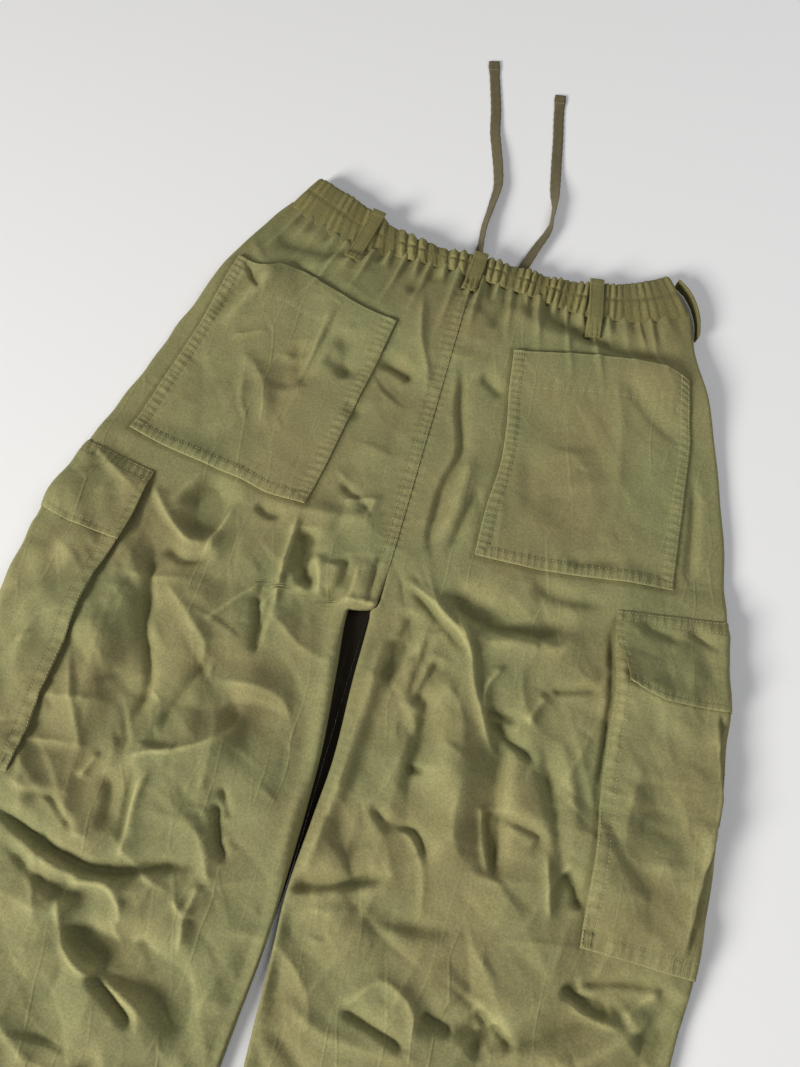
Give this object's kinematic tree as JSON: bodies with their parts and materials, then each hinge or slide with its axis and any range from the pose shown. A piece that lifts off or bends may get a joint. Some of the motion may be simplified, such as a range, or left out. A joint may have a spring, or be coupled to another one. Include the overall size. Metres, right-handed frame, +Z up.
{
  "type": "cargo trousers",
  "caption": "Cargo trousers lying flat, back side up, with a gathered elastic waistband, belt loops, free drawstring ends, back patch pockets and flapped bellows pockets on the thighs",
  "frame": {"origin": "middle of the underside of the garment without its drawstring ends, on the surface that it lies on", "axes": "+Y runs from the hems to the waist, +X to the viewer's right with the back side up, +Z up from the surface"},
  "size_m": [0.651, 1.3562, 0.0275],
  "materials": {
    "twill": "washed olive cotton twill, matt, with soft creases and puckered seams",
    "waistband": "the same twill gathered on elastic, a little darker",
    "tape": "dark olive woven cotton tape"
  },
  "bodies": {
    "root": {"back_left": "twill", "back_right": "twill", "front_left": "twill", "front_right": "twill", "back_pocket_left": "twill", "back_pocket_right": "twill", "cargo_face_left": "twill", "cargo_face_right": "twill", "cargo_flap_left": "twill", "cargo_flap_right": "twill", "cargo_gusset_left": "twill", "cargo_gusset_right": "twill", "waistband_back": "waistband", "waistband_front": "waistband", "belt_loop_centre": "waistband", "belt_loop_back_left": "waistband", "belt_loop_back_right": "waistband", "belt_loop_side_left": "waistband", "belt_loop_side_right": "waistband", "belt_loop_front_left": "waistband", "belt_loop_front_right": "waistband", "drawstring_left": "tape", "drawstring_right": "tape"}
  },
  "joints": []
}
